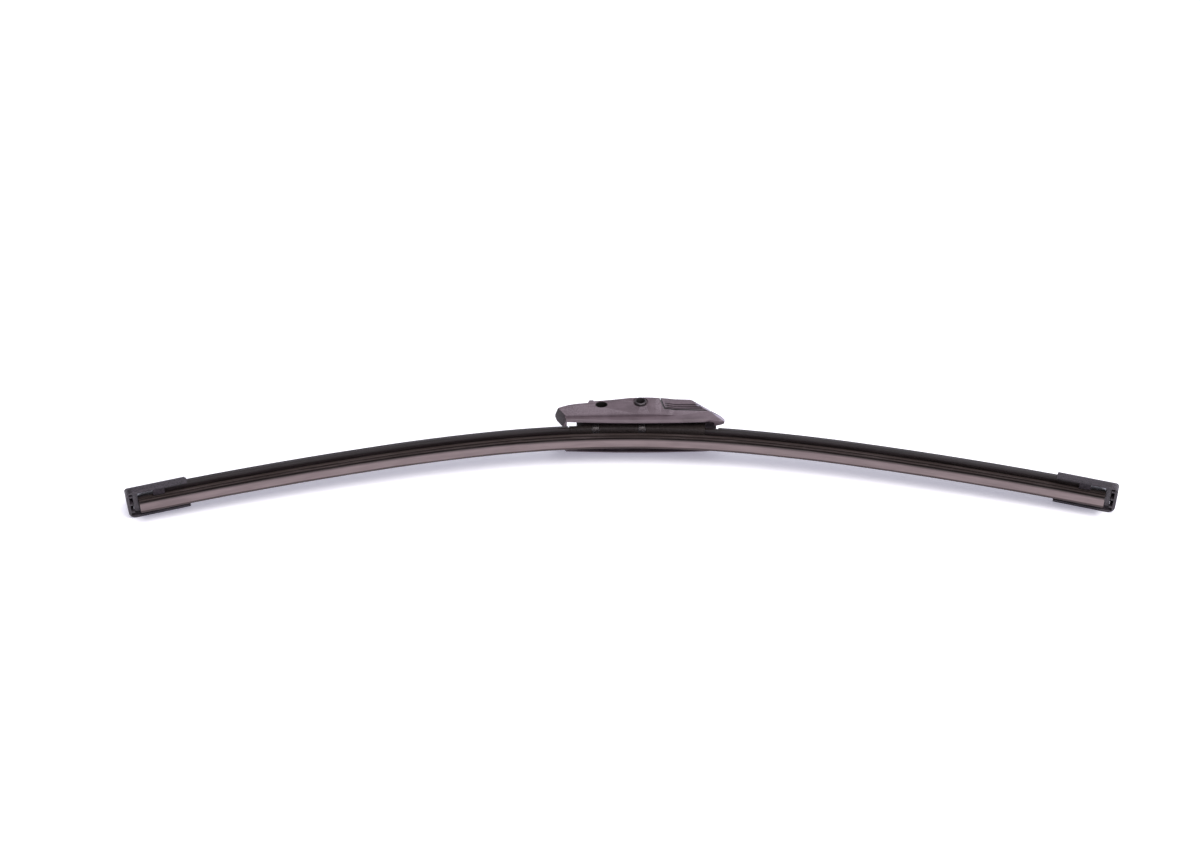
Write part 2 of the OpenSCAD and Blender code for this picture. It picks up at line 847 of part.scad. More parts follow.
// Side view of the cover, grown by a gap
module cover_side(gap) {
    hinge = [hinge_x, hinge_v];
    r = hinge_r + gap;
    polygon([
        [cover_front - gap, top_v + 1], [cover_front + 2.4 - gap, seam_v - gap],
        [hinge_x, hinge_v - r], hinge, hinge + 3 * slope_aim, [hinge_x, top_v + 1]
    ]);
    translate(hinge)
        circle(r = r);
}

module adapter_housing() {
    color("#4d464a")
        upright()
            difference() {
                union() {
                    difference() {
                        housing_outer();
                        housing_hollow();
                        side_slab()
                            cover_side(seam_gap);
                    }
                    for (side = [0, 1])
                        mirror([0, 0, side])
                            {
                                housing_boss();
                                slot_pocket();
                            }
                    hinge_knuckle();
                    tail_foot();
                }
                pivot_hole(tube_d / 2 + pivot_play);
                for (side = [0, 1])
                    mirror([0, 0, side])
                        translate([0, pivot_v, pad_half_w - recess_depth])
                            cylinder(h = far, r = recess_d / 2);
                for (side = [0, 1])
                    mirror([0, 0, side])
                        obround(0, pad_half_w - slot_depth);
                translate([hinge_x, hinge_v, 0])
                    cylinder(h = far, r = hinge_pin_d / 2 + hinge_play, center = true);
            }
}

// Boss inside each wall, which turns on the tube beside the base's cheek
module housing_boss() {
    foot = ear_span / 2 + base_play + cheek_t + housing_play;
    translate([0, pivot_v, foot])
        cylinder(h = pad_half_w - wall_t / 2 - foot, r = boss_r);
}

// Obround block of the hole's size, grown by a rim, from a distance off the middle outwards
module obround(rim, from) {
    reach = (slot_l - slot_h) / 2;
    for (x = [-reach, reach])
        translate([x - slot_x, slot_v, from])
            cylinder(h = far, r = slot_h / 2 + rim);
    block(-slot_x - reach, -slot_x + reach, slot_v - slot_h / 2 - rim, slot_v + slot_h / 2 + rim,
        from, from + far);
}

// Closed pocket behind the obround hole, inside the wall
module slot_pocket() {
    intersection() {
        obround(1, pad_half_w - slot_depth - 1);
        translate([-slot_x - 10, 0, 0])
            cube([20, far, pad_half_w - wall_t]);
    }
}

module hinge_knuckle() {
    r = hinge_r - seam_gap / 2;
    translate([hinge_x, hinge_v, 0])
        cylinder(h = knuckle_w, r = r, center = true);
    block(hinge_x, hinge_x + 4, beam_v + bite, hinge_v, -knuckle_w / 2, knuckle_w / 2);
}

// Foot under the tail's beam, over the end of the spoiler
module tail_foot() {
    block(40.1, 41.1, 14.2, beam_v + 1, -4, 4);
}

module lock_cover() {
    hinge_at = [hinge_x, hinge_v, 0];
    slot_w = knuckle_w + 2 * housing_play;
    color("#453f42")
        upright() {
            difference() {
                intersection() {
                    housing_outer();
                    side_slab()
                        cover_side(0);
                }
                cover_hollow();
                cover_grooves();
                translate(hinge_at)
                    cylinder(h = slot_w, r = hinge_r + seam_gap, center = true);
                block(hinge_x, hinge_x + 4, hinge_v - 4, far, -slot_w / 2, slot_w / 2);
            }
            translate(hinge_at)
                cylinder(h = slot_w + 2, d = hinge_pin_d, center = true);
        }
}

module cover_hollow() {
    difference() {
        raise(-far, far)
            skirt_plan(cover_t);
        tail_facets(cover_t);
        side_slab()
            polygon([
                [-far, top_v - cover_t], [20, top_v - cover_t],
                [slope_x - cover_t / 2, slope_v - cover_t], [hinge_x - hinge_r - 0.7, 22.8],
                [hinge_x - hinge_r - 0.7, -far], [far, -far], [far, far], [-far, far]
            ]);
    }
}

module cover_grooves() {
    for (i = [0 : grip_n - 1])
        difference() {
            block(cover_front + 3.8, 33.4 - i, grip_v + i * grip_pitch - grip_w / 2,
                grip_v + i * grip_pitch + grip_w / 2, -far / 2, far / 2);
            raise(0, far) {
                skirt_plan(grip_depth);
                pad_plan(grip_depth);
            }
        }
}

module wiper_rubber() {
    color("#6f6265")
        along_bow(-tip_s + rubber_setback, tip_s - rubber_setback)
            rubber_profile();
}

module rail_upper() {
    color("#8b8c90")
        along_bow(-tip_s + rail_setback, tip_s - rail_setback)
            rail_profile();
}

module rail_lower() {
    color("#8b8c90")
        along_bow(-tip_s + rail_setback, tip_s - rail_setback)
            mirror([0, 1])
                rail_profile();
}

module spoiler_left() {
    color("#322c2f")
        along_bow(-tip_s + spoiler_setback, station(-left_spoiler_stop))
            spoiler_profile();
}

module spoiler_right() {
    color("#322c2f")
        difference() {
            along_bow(station(right_spoiler_stop), tip_s - spoiler_setback)
                spoiler_profile();
            upright()
                block(0, ridge_start, low_end_v, far, -far, far);
        }
}

module end_cap_left() {
    color("#39343a")
        at_tip(-1)
            end_cap();
}

module end_cap_right() {
    color("#39343a")
        at_tip(1)
            end_cap();
}

module rail_clip_left() {
    color("#575257")
        at_tip(-1)
            rail_clip();
}

module rail_clip_right() {
    color("#575257")
        at_tip(1)
            rail_clip();
}

wiper_rubber();
rail_upper();
rail_lower();
spoiler_left();
spoiler_right();
end_cap_left();
end_cap_right();
rail_clip_left();
rail_clip_right();
claw_bracket();
connector_base();
pivot_tube();
adapter_housing();
lock_cover();
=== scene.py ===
import math
import bpy
from mathutils import Matrix, Vector


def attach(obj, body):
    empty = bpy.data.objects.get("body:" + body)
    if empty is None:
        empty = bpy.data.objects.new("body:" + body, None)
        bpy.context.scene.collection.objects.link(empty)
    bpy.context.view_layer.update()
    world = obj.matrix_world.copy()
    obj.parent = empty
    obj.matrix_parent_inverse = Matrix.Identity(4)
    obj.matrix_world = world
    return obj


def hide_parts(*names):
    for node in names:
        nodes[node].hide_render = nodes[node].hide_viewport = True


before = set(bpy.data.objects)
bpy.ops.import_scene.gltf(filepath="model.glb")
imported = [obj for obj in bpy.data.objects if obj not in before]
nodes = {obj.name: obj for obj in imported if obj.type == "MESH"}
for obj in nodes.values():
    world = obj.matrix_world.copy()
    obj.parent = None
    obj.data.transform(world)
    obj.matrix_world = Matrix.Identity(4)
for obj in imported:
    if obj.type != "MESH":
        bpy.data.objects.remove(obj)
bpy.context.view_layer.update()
print("frame loaded with", len(nodes), "nodes")


# selecting and finishing

finishing = {
    "mergeDistance": 2e-6,
    "flatAngle": math.radians(0.6),     # faces nearer to one plane than this become one
    "sharpAngle": math.radians(30),     # edges sharper than this are rounded
    "smoothAngle": math.radians(32),
}


def selectOnly(piece):
    bpy.ops.object.select_all(action="DESELECT")
    piece.select_set(True)
    bpy.context.view_layer.objects.active = piece


def copyOf(nodeName, pieceName):
    # the frame's own mesh stays untouched, the copy is what gets dressed
    piece = bpy.data.objects.new(pieceName, nodes[nodeName].data.copy())
    bpy.context.scene.collection.objects.link(piece)
    piece.data.materials.clear()
    selectOnly(piece)
    bpy.ops.mesh.customdata_custom_splitnormals_clear()
    return piece


def mergeLooseFaces(piece):
    selectOnly(piece)
    bpy.ops.object.mode_set(mode="EDIT")
    bpy.ops.mesh.select_all(action="SELECT")
    bpy.ops.mesh.remove_doubles(threshold=finishing["mergeDistance"])
    bpy.ops.mesh.dissolve_limited(angle_limit=finishing["flatAngle"])
    bpy.ops.object.mode_set(mode="OBJECT")


def roundEdges(piece, width, steps):
    selectOnly(piece)
    bevel = piece.modifiers.new("roundedEdges", "BEVEL")
    bevel.width = width
    bevel.segments = steps
    bevel.limit_method = "ANGLE"
    bevel.angle_limit = finishing["sharpAngle"]
    bevel.use_clamp_overlap = True
    bevel.miter_outer = "MITER_ARC"
    bpy.ops.object.modifier_apply(modifier=bevel.name)
    bpy.ops.object.shade_smooth_by_angle(angle=finishing["smoothAngle"])


def dress(settings, coat, side=""):
    # pieces that come in pairs have the side's name in their own
    nodeName = settings["node"].format(side)
    pieceName = settings["name"].format(side)
    body, slotName = settings["body"], settings["slot"]
    piece = copyOf(nodeName, pieceName)
    mergeLooseFaces(piece)
    roundEdges(piece, settings["edgeWidth"], settings["edgeSteps"])
    piece.data.materials.append(coat.material)
    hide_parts(nodeName)
    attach(piece, body)
    print(pieceName, "has", len(piece.data.polygons), "faces")
    return piece


# the bow undone, so that a finish can follow the blade

bow = {
    "pivotOffset": 0.0107,              # the pivot stands to the right of the blade's middle
    "pivotHeight": 0.0238,              # above the wiping edge
    "railHeight": 0.0107,
    "jointTurn": math.asin(237 / 3125),     # the radius changes at two and at three of these
    "radii": (0.450, 0.750, 1.500),
}


def unbend(place):
    turn = bow["jointTurn"]
    inner, nextOut, outer = bow["radii"]
    x = abs(place.x + bow["pivotOffset"])
    y = place.y + bow["pivotHeight"] - bow["railHeight"]
    centre = Vector((0, -inner))
    angle = math.atan2(x - centre.x, y - centre.y)
    radius, along, started = inner, 0.0, 0.0
    if angle > 2 * turn:
        aim = Vector((math.sin(2 * turn), math.cos(2 * turn)))
        centre = centre + (inner - nextOut) * aim
        along, started, radius = inner * 2 * turn, 2 * turn, nextOut
        angle = math.atan2(x - centre.x, y - centre.y)
        if angle > 3 * turn:
            aim = Vector((math.sin(3 * turn), math.cos(3 * turn)))
            centre = centre + (nextOut - outer) * aim
            along, started, radius = along + nextOut * turn, 3 * turn, outer
            angle = math.atan2(x - centre.x, y - centre.y)
    length = along + radius * (angle - started)
    height = math.hypot(x - centre.x, y - centre.y) - radius + bow["railHeight"]
    return math.copysign(length, place.x + bow["pivotOffset"]), height


def markAlongBlade(piece):
    # x along the blade, y up from the wiping edge, z across, as if the blade were straight
    mark = piece.data.attributes.new("alongBlade", "FLOAT_VECTOR", "POINT")
    for index, vertex in enumerate(piece.data.vertices):
        length, height = unbend(vertex.co)
        mark.data[index].vector = (length, height, vertex.co.z)


# shader maths

class Wire:
    def __init__(self, coat, socket):
        self.coat = coat
        self.socket = socket

    def maths(self, operation, first, second):
        return self.coat.node("ShaderNodeMath", {"operation": operation}, {0: first, 1: second})

    def __add__(self, other):
        return self.maths("ADD", self, other)

    def __radd__(self, other):
        return self.maths("ADD", other, self)

    def __sub__(self, other):
        return self.maths("SUBTRACT", self, other)

    def __rsub__(self, other):
        return self.maths("SUBTRACT", other, self)

    def __mul__(self, other):
        return self.maths("MULTIPLY", self, other)

    def __rmul__(self, other):
        return self.maths("MULTIPLY", other, self)

    def size(self):
        return self.maths("ABSOLUTE", self, 0.0)

    def between(self, low, high):
        # rises softly from 0 at low to 1 at high
        return self.coat.node(
            "ShaderNodeMapRange", {"interpolation_type": "SMOOTHSTEP", "clamp": True},
            {"Value": self, "From Min": low, "From Max": high, "To Min": 0.0, "To Max": 1.0})


class Coat:
    def __init__(self, name, **constants):
        self.material = bpy.data.materials.new(name)
        self.material.use_nodes = True
        self.tree = self.material.node_tree
        self.shader = self.tree.nodes["Principled BSDF"]
        for socketName, value in constants.items():
            self.shader.inputs[socketName.replace("_", " ")].default_value = value

    def node(self, kind, settings=None, values=None, output=0):
        made = self.tree.nodes.new(kind)
        for key, value in (settings or {}).items():
            setattr(made, key, value)
        for key, value in (values or {}).items():
            if isinstance(value, Wire):
                self.tree.links.new(value.socket, made.inputs[key])
            else:
                made.inputs[key].default_value = value
        return Wire(self, made.outputs[output])

    def feed(self, socketName, wire):
        self.tree.links.new(wire.socket, self.shader.inputs[socketName])

    def place(self):
        return self.node("ShaderNodeTexCoord", output="Object")

    def facing(self):
        return self.node("ShaderNodeTexCoord", output="Normal")

    def marked(self, attributeName):
        return self.node("ShaderNodeAttribute", {"attribute_name": attributeName}, output="Vector")

    def parts(self, vector):
        split = self.tree.nodes.new("ShaderNodeSeparateXYZ")
        self.tree.links.new(vector.socket, split.inputs[0])
        return [Wire(self, socket) for socket in split.outputs]

    def stretched(self, vector, scale):
        return self.node("ShaderNodeMapping", {"vector_type": "POINT"}, {"Vector": vector, "Scale": scale})

    def noise(self, vector, scale, detail, roughness):
        return self.node(
            "ShaderNodeTexNoise", {"noise_dimensions": "3D"},
            {"Vector": vector, "Scale": scale, "Detail": detail, "Roughness": roughness})

    def cells(self, vector, scale):
        return self.node("ShaderNodeTexVoronoi", {"feature": "F1"}, {"Vector": vector, "Scale": scale})

    def outerEdge(self, low, high):
        return self.node("ShaderNodeNewGeometry", output="Pointiness").between(low, high)

    def creviceShade(self):
        # painted shade from ambient occlusion: 1 deep in a gap or groove, 0 on open faces
        hidden = self.node("ShaderNodeAmbientOcclusion", {"samples": 8},
                           {"Distance": creviceShading["reach"]}, output="AO")
        return 1 - hidden.between(creviceShading["low"], creviceShading["high"])

    def mixed(self, amount, low, high):
        return self.node(
            "ShaderNodeMix", {"data_type": "RGBA", "blend_type": "MIX", "clamp_factor": True},
            {0: amount, 6: low, 7: high}, output=2)

    def bump(self, height, distance):
        self.feed("Normal", self.node(
            "ShaderNodeBump", None, {"Height": height, "Distance": distance, "Strength": 1.0}))


# reach and limits of the painted crevice shade
creviceShading = {"reach": 0.0009, "low": 0.25, "high": 0.6}


def shade(red, green, blue):
    # screen values from 0 to 255, turned to linear light
    def linear(value):
        return ((value / 255 + 0.055) / 1.055) ** 2.4 if value > 10 else value / 3294.6

    return (linear(red), linear(green), linear(blue), 1.0)


# painted shade and a painted highlight on single places of the adapter and its cover

# the gap round the cover leans back from the top, turns at a corner and runs on below; painted shade darkens
# it
seam = {
    "frontX": 0.011815, "lean": 0.239,              # its front line crosses y = 0 at frontX
    "cornerX": 0.01295, "cornerY": -0.00475,
    "underRise": -0.0396,
    "near": 0.00038, "far": 0.00062,                # half width of the dark, and where it ends
}
# painted shade lines along the cover's three grip grooves
grips = {
    "count": 3, "lowest": -0.0037, "pitch": 0.00165,
    "startX": 0.0135, "endX": 0.0334, "shorter": 0.001,     # each groove ends a little before the last
    "sideZ": 0.0106,
    "near": 0.0003, "far": 0.00046,
}
# a painted highlight along the edge of the cover's slope, standing for the room's reflection
slopeHighlight = {
    "x": 0.0274, "y": 0.0039, "outX": 0.546, "outY": 0.838,
    "depth": 0.0030, "soft": 0.0008,
    "startX": 0.0295, "fullX": 0.031,
    "sideZ": 0.0066, "fullZ": 0.0076,
    "amount": 0.85, "colour": shade(158, 151, 166),
}
# painted shade filling the oval slot in the housing
slot = {
    "x": -0.0212, "y": -0.00205, "halfLength": 0.00305, "halfHeight": 0.00235,
    "inside": 1.12, "outside": 1.3,                 # of the oval, squared
}
# painted shade on the housing's faces that turn to the left, as on its raked end
rakedEndShade = {"facing": -0.6, "turned": -0.25, "amount": 0.72}


# painted shade in the seam's front slit and along its lower run
def seamGapShade(coat, place):
    x, y = coat.parts(place)[:2]
    front = (x + seam["lean"] * y - seam["frontX"]).size()
    under = (y - seam["cornerY"] - seam["underRise"] * (x - seam["cornerX"])).size()
    above = y.between(seam["cornerY"] - seam["near"], seam["cornerY"])
    beyond = x.between(seam["cornerX"] - seam["near"], seam["cornerX"])
    frontSlit = (1 - front.between(seam["near"], seam["far"])) * above
    return frontSlit + (1 - under.between(seam["near"], seam["far"])) * beyond


# painted highlight band just inside the slope's edge, on the sides only
def paintedSlopeHighlight(coat, place):
    x, y, z = coat.parts(place)
    outward = slopeHighlight["outX"] * (x - slopeHighlight["x"]) + slopeHighlight["outY"] * (y - slopeHighlight["y"])
    near = outward.between(-slopeHighlight["depth"], slopeHighlight["soft"] - slopeHighlight["depth"])
    atSide = z.size().between(slopeHighlight["sideZ"], slopeHighlight["fullZ"])
    return near * atSide * x.between(slopeHighlight["startX"], slopeHighlight["fullX"]) * slopeHighlight["amount"]


# painted shade for the cover: the seam and its grip grooves
def coverPaintedShade(coat, place):
    x, y, z = coat.parts(place)
    atSide = z.size().between(grips["sideZ"] - grips["near"], grips["sideZ"])
    begun = x.between(grips["startX"] - grips["near"], grips["startX"])
    dark = seamGapShade(coat, place)
    for index in range(grips["count"]):
        end = grips["endX"] - index * grips["shorter"]
        ended = x.between(end, end + grips["near"])
        level = (y - (grips["lowest"] + index * grips["pitch"])).size()
        dark = dark + (1 - level.between(grips["near"], grips["far"])) * begun * (1 - ended) * atSide
    return dark


# painted shade for the housing: the seam, the slot and the left-facing faces
def housingPaintedShade(coat, place):
    x, y = coat.parts(place)[:2]
    across = (x - slot["x"]) * (1 / slot["halfLength"])
    rise = (y - slot["y"]) * (1 / slot["halfHeight"])
    slotShade = 1 - (across * across + rise * rise).between(slot["inside"], slot["outside"])
    facingRight = coat.parts(coat.facing())[0]
    leftFacingShade = 1 - facingRight.between(rakedEndShade["facing"], rakedEndShade["turned"])
    return seamGapShade(coat, place) + slotShade + leftFacingShade * rakedEndShade["amount"]


# moulded plastics: fine grain, faint flow marks, paler worn edges, painted shade in gaps

plasticMarks = {
    "grainDetail": 2.0, "grainRoughness": 0.6, "pitScale": 0.62,
    "cloudScale": 85.0, "cloudRange": (0.35, 0.68),
    "flowScale": 260.0, "flowStretch": (0.35, 1.6, 1.6), "flowRange": (0.42, 0.66), "flowAmount": 0.35,
    "scuffScale": 900.0, "scuffStretch": (0.12, 2.2, 1.0), "scuffRange": (0.62, 0.72), "scuffAmount": 0.1,
    "edgeRange": (0.505, 0.56), "wearScale": 1500.0, "wearRange": (0.3, 0.62),
    # colours of painted shade: in gaps, and on single places of the adapter and cover
    "creviceShadeColour": shade(9, 6, 7), "paintedShadeColour": shade(12, 8, 8),
}


def mouldedPlastic(settings, paintedShade=None):
    marks = plasticMarks
    coat = Coat(settings["name"], IOR=1.48, Specular_IOR_Level=settings["shine"])
    place = coat.place()
    grain = coat.noise(place, settings["grainScale"], marks["grainDetail"], marks["grainRoughness"])
    pits = coat.cells(place, settings["grainScale"] * marks["pitScale"])
    cloud = coat.noise(place, marks["cloudScale"], 4.0, 0.5)
    flow = coat.noise(coat.stretched(place, marks["flowStretch"]), marks["flowScale"], 3.0, 0.5)
    scuffs = coat.noise(coat.stretched(place, marks["scuffStretch"]), marks["scuffScale"], 2.0, 0.6)
    scuffed = scuffs.between(*marks["scuffRange"])
    patchyWear = coat.noise(place, marks["wearScale"], 3.0, 0.6).between(*marks["wearRange"])
    worn = coat.outerEdge(*marks["edgeRange"]) * patchyWear
    colour = coat.mixed(cloud.between(*marks["cloudRange"]), settings["dark"], settings["light"])
    colour = coat.mixed(flow.between(*marks["flowRange"]) * marks["flowAmount"], colour, settings["flow"])
    colour = coat.mixed(worn * settings["wear"] + scuffed * marks["scuffAmount"], colour, settings["worn"])
    # painted shade in gaps and grooves
    colour = coat.mixed(coat.creviceShade(), colour, marks["creviceShadeColour"])
    # adapter and cover only: a painted highlight on the slope's edge, then painted shade
    if paintedShade:
        colour = coat.mixed(paintedSlopeHighlight(coat, place), colour, slopeHighlight["colour"])
        colour = coat.mixed(paintedShade(coat, place), colour, marks["paintedShadeColour"])
    coat.feed("Base Color", colour)
    coat.feed("Roughness", settings["roughness"] + 0.16 * grain + 0.08 * cloud - 0.1 * worn)
    coat.bump(grain * 0.7 + pits * 0.5 + flow * 0.25, settings["grainDepth"])
    return coat


adapterPlastic = {
    "name": "mauveGreyAdapterPlastic",
    "dark": shade(72, 59, 65), "light": shade(88, 74, 81),
    "flow": shade(100, 86, 93), "worn": shade(132, 120, 127),
    "roughness": 0.42, "shine": 0.5, "wear": 0.5,
    "grainScale": 5200.0, "grainDepth": 0.00005,
}
coverPlastic = {
    "name": "mauveGreyCoverPlastic",
    "dark": shade(68, 55, 62), "light": shade(84, 70, 78),
    "flow": shade(96, 82, 90), "worn": shade(130, 117, 125),
    "roughness": 0.4, "shine": 0.5, "wear": 0.55,
    "grainScale": 5200.0, "grainDepth": 0.00005,
}
capPlastic = {
    "name": "darkEndCapPlastic",
    "dark": shade(18, 14, 18), "light": shade(25, 20, 25),
    "flow": shade(32, 27, 32), "worn": shade(74, 66, 74),
    "roughness": 0.4, "shine": 0.5, "wear": 0.55,
    "grainScale": 4200.0, "grainDepth": 0.00006,
}
connectorPlastic = {
    "name": "blackConnectorPlastic",
    "dark": shade(14, 8, 5), "light": shade(20, 13, 9),
    "flow": shade(26, 19, 14), "worn": shade(60, 52, 52),
    "roughness": 0.46, "shine": 0.3, "wear": 0.4,
    "grainScale": 4600.0, "grainDepth": 0.00005,
}
clipPlastic = {
    "name": "greyRailClipPlastic",
    "dark": shade(38, 34, 38), "light": shade(50, 45, 50),
    "flow": shade(58, 53, 58), "worn": shade(96, 90, 96),
    "roughness": 0.45, "shine": 0.5, "wear": 0.4,
    "grainScale": 4200.0, "grainDepth": 0.00004,
}
adapterCoat = mouldedPlastic(adapterPlastic, housingPaintedShade)
coverCoat = mouldedPlastic(coverPlastic, coverPaintedShade)
capCoat = mouldedPlastic(capPlastic)
connectorCoat = mouldedPlastic(connectorPlastic)
clipCoat = mouldedPlastic(clipPlastic)
print("plastic finishes made")


# satin extrusion of the spoiler, with drawn lines along it

spoilerFinish = {
    "dark": shade(20, 12, 12), "light": shade(30, 22, 23),
    "drawn": shade(48, 41, 44), "drawnStretch": (0.02, 1.0, 1.0), "drawnScale": 2600.0,
    "broadStretch": (0.06, 1.0, 1.0), "broadScale": 520.0,
    "cloudScale": 60.0,
    "dust": shade(120, 114, 120), "dustScale": 5200.0,
    "roughness": 0.3, "lineDepth": 0.00004,
}


def drawnSpoiler():
    finish = spoilerFinish
    coat = Coat("satinSpoilerExtrusion", IOR=1.5, Specular_IOR_Level=0.4)
    along = coat.marked("alongBlade")
    drawn = coat.noise(coat.stretched(along, finish["drawnStretch"]), finish["drawnScale"], 4.0, 0.65)
    broad = coat.noise(coat.stretched(along, finish["broadStretch"]), finish["broadScale"], 3.0, 0.5)
    cloud = coat.noise(coat.place(), finish["cloudScale"], 4.0, 0.55)
    dust = coat.noise(coat.place(), finish["dustScale"], 2.0, 0.7).between(0.66, 0.74)
    colour = coat.mixed(broad.between(0.35, 0.65), finish["dark"], finish["light"])
    colour = coat.mixed(drawn.between(0.52, 0.72) * 0.4, colour, finish["drawn"])
    colour = coat.mixed(dust * 0.25, colour, finish["dust"])
    coat.feed("Base Color", colour)
    coat.feed("Roughness", finish["roughness"] + 0.14 * drawn + 0.12 * cloud)
    coat.bump(drawn * 0.8 + broad * 0.4, finish["lineDepth"])
    return coat


spoilerCoat = drawnSpoiler()


# rubber: graphite grey on the wiping lip, paler ribs, painted shade in the grooves and on the wiping edge's
# face

# heights above the wiping edge where the strip's section changes
stripHeights = {
    "edge": 0.0004, "tip": 0.0009, "flank": 0.0036, "web": 0.0046,
    "lowRib": 0.0056, "groove": 0.0069, "highRib": 0.0077,
    "soft": 0.00015,
}
# groove is the colour of painted shade in the grooves and gaps
rubberFinish = {
    "black": shade(22, 15, 14), "dull": shade(33, 25, 24), "rib": shade(58, 47, 45), "groove": shade(8, 5, 5),
    "lipDark": shade(106, 93, 95), "lipLight": shade(120, 106, 108), "paintedTipShade": shade(40, 31, 31),
    "drawn": shade(132, 120, 121), "drawnStretch": (0.012, 1.0, 1.0), "drawnScale": 3400.0,
    "streakStretch": (0.1, 1.0, 1.0), "streakScale": 420.0,
    "mottleStretch": (0.16, 1.0, 1.0), "mottleScale": 300.0,
    "speck": shade(150, 140, 142), "speckScale": 4200.0,
    "roughness": 0.52, "lineDepth": 0.00004,
}


def wipingRubber():
    finish = rubberFinish
    soft = stripHeights["soft"]
    coat = Coat("graphiteCoatedRubber", IOR=1.46, Specular_IOR_Level=0.3)
    along = coat.marked("alongBlade")
    height = coat.parts(along)[1]
    drawn = coat.noise(coat.stretched(along, finish["drawnStretch"]), finish["drawnScale"], 4.0, 0.65)
    streak = coat.noise(coat.stretched(along, finish["streakStretch"]), finish["streakScale"], 3.0, 0.6)
    mottle = coat.noise(coat.stretched(along, finish["mottleStretch"]), finish["mottleScale"], 5.0, 0.6)
    speck = coat.noise(coat.place(), finish["speckScale"], 2.0, 0.7).between(0.64, 0.73)

    def above(name):
        return height.between(stripHeights[name] - soft, stripHeights[name] + soft)

    lip = 1 - height.between(stripHeights["flank"] - soft, stripHeights["web"] - 2 * soft)
    # painted shade in the two grooves above the web
    paintedGrooveShade = above("web") - above("lowRib") + (above("groove") - above("highRib"))
    # painted shade on the face of the wiping edge
    paintedTipShade = 1 - height.between(stripHeights["edge"], stripHeights["tip"])
    black = coat.mixed(streak.between(0.35, 0.65), finish["black"], finish["dull"])
    greyLip = coat.mixed(mottle.between(0.3, 0.7), finish["lipDark"], finish["lipLight"])
    colour = coat.mixed(above("lowRib") * 0.55, black, finish["rib"])
    colour = coat.mixed(paintedGrooveShade * 0.9, colour, finish["groove"])
    colour = coat.mixed(lip, colour, greyLip)
    colour = coat.mixed(drawn.between(0.5, 0.72) * 0.3, colour, finish["drawn"])
    colour = coat.mixed(paintedTipShade * 0.8, colour, finish["paintedTipShade"])
    # painted shade in gaps
    colour = coat.mixed(coat.creviceShade(), colour, finish["groove"])
    colour = coat.mixed(speck * 0.22, colour, finish["speck"])
    coat.feed("Base Color", colour)
    coat.feed("Roughness", finish["roughness"] + 0.16 * mottle + 0.1 * drawn)
    coat.bump(drawn * 0.7 + mottle * 0.4, finish["lineDepth"])
    return coat


rubberCoat = wipingRubber()


# metals

railFinish = {
    "dark": shade(120, 121, 126), "light": shade(176, 178, 184), "stain": shade(98, 92, 90),
    "brushStretch": (0.01, 1.0, 1.0), "brushScale": 5200.0, "stainScale": 140.0,
    "roughness": 0.24, "brushDepth": 0.00002,
}


def brushedRail():
    finish = railFinish
    coat = Coat("brushedSpringSteel", Metallic=1.0)
    along = coat.marked("alongBlade")
    brushed = coat.noise(coat.stretched(along, finish["brushStretch"]), finish["brushScale"], 5.0, 0.7)
    stain = coat.noise(coat.place(), finish["stainScale"], 4.0, 0.6)
    colour = coat.mixed(brushed, finish["dark"], finish["light"])
    colour = coat.mixed(stain.between(0.55, 0.75) * 0.4, colour, finish["stain"])
    coat.feed("Base Color", colour)
    coat.feed("Roughness", finish["roughness"] + 0.22 * brushed)
    coat.bump(brushed, finish["brushDepth"])
    return coat


paintMarks = {
    "peelScale": 1900.0, "patchScale": 260.0, "chipScale": 2600.0,
    "chip": shade(170, 166, 166), "peelDepth": 0.00003,
}


def paintedSheet(settings):
    marks = paintMarks
    coat = Coat(settings["name"], Metallic=settings["metal"])
    place = coat.place()
    orangePeel = coat.noise(place, marks["peelScale"], 2.0, 0.5)
    patch = coat.noise(place, marks["patchScale"], 4.0, 0.6)
    chipped = coat.noise(place, marks["chipScale"], 3.0, 0.6).between(0.6, 0.66)
    colour = coat.mixed(patch.between(0.35, 0.65), settings["dark"], settings["light"])
    colour = coat.mixed(coat.outerEdge(0.51, 0.57) * chipped * 0.8, colour, marks["chip"])
    coat.feed("Base Color", colour)
    coat.feed("Roughness", settings["roughness"] + 0.12 * patch + 0.08 * orangePeel)
    coat.bump(orangePeel * 0.6 + patch * 0.3, marks["peelDepth"])
    return coat


bracketPaint = {
    "name": "coatedBracketSheet", "dark": shade(38, 32, 33), "light": shade(56, 50, 51),
    "roughness": 0.36, "metal": 0.5,
}
tubePaint = {
    "name": "darkRivetTube", "dark": shade(62, 56, 59), "light": shade(88, 82, 85),
    "roughness": 0.32, "metal": 0.75,
}
railCoat = brushedRail()
bracketCoat = paintedSheet(bracketPaint)
tubeCoat = paintedSheet(tubePaint)
print("all finishes made")


# the adapter and its cover

adapterShell = {
    "node": "adapter_housing", "name": "adapterShell", "body": "adapter", "slot": "adapter",
    "edgeWidth": 0.00028, "edgeSteps": 3,
}
dress(adapterShell, adapterCoat)

coverShell = {
    "node": "lock_cover", "name": "lockCoverShell", "body": "cover", "slot": "lock_cover",
    "edgeWidth": 0.0002, "edgeSteps": 2,
}
dress(coverShell, coverCoat)

# what the adapter sits on

connectorBody = {
    "node": "connector_base", "name": "connectorBody", "body": "blade", "slot": "connector_base",
    "edgeWidth": 0.00015, "edgeSteps": 2,
}
dress(connectorBody, connectorCoat)

bracketSheet = {
    "node": "claw_bracket", "name": "clawBracketSheet", "body": "blade", "slot": "claw_bracket",
    "edgeWidth": 0.00012, "edgeSteps": 2,
}
dress(bracketSheet, bracketCoat)

